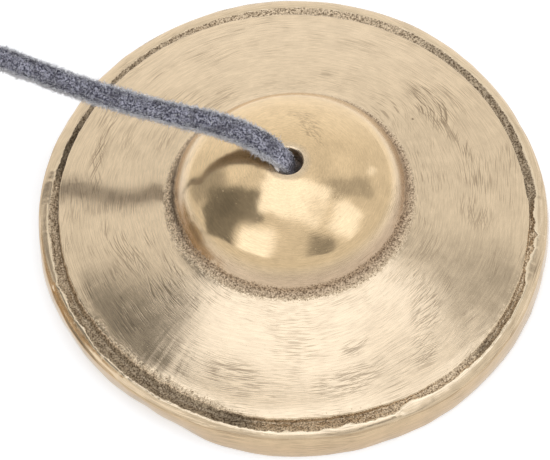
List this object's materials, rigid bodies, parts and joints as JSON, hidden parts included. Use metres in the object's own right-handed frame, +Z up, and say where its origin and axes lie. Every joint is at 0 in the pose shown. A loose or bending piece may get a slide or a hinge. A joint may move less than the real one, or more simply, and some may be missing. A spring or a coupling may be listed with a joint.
{
  "type": "tingsha cymbals",
  "caption": "Pair of small cast brass cymbals with raised domes, joined by a flat suede strap that is knotted inside each dome and lets them swing and swivel.",
  "frame": {"origin": "on the resting plane, midway between the axes of the two cymbals", "axes": "+X along the pair towards the near cymbal, +Z up along the domes' axes"},
  "size_m": [0.1865, 0.0878, 0.0255],
  "materials": {
    "brass": "hand filed and polished casting",
    "suede": "napped suede"
  },
  "bodies": {
    "near_cymbal": {"near_cymbal": "brass"},
    "near_knot": {"near_knot": "suede"},
    "strap": {"strap": "suede"},
    "far_knot": {"far_knot": "suede"},
    "far_cymbal": {"far_cymbal": "brass"}
  },
  "joints": [
    {"name": "near_swivel", "type": "hinge", "parent": "near_cymbal", "child": "near_knot", "pos_m": [0.0415, 0.0045, 0.0125], "axis": [0, 0, 1], "continuous": true},
    {"name": "near_bend", "type": "hinge", "parent": "near_knot", "child": "strap", "pos_m": [0.0415, 0.0045, 0.01944], "axis": [0.4067, 0.9135, 0], "range_deg": [0, 80]},
    {"name": "far_bend", "type": "hinge", "parent": "strap", "child": "far_knot", "pos_m": [-0.0415, -0.0045, 0.01944], "axis": [0, -1, 0], "range_deg": [0, 75]},
    {"name": "far_swivel", "type": "hinge", "parent": "far_knot", "child": "far_cymbal", "pos_m": [-0.0415, -0.0045, 0.0125], "axis": [0, 0, 1], "continuous": true}
  ]
}
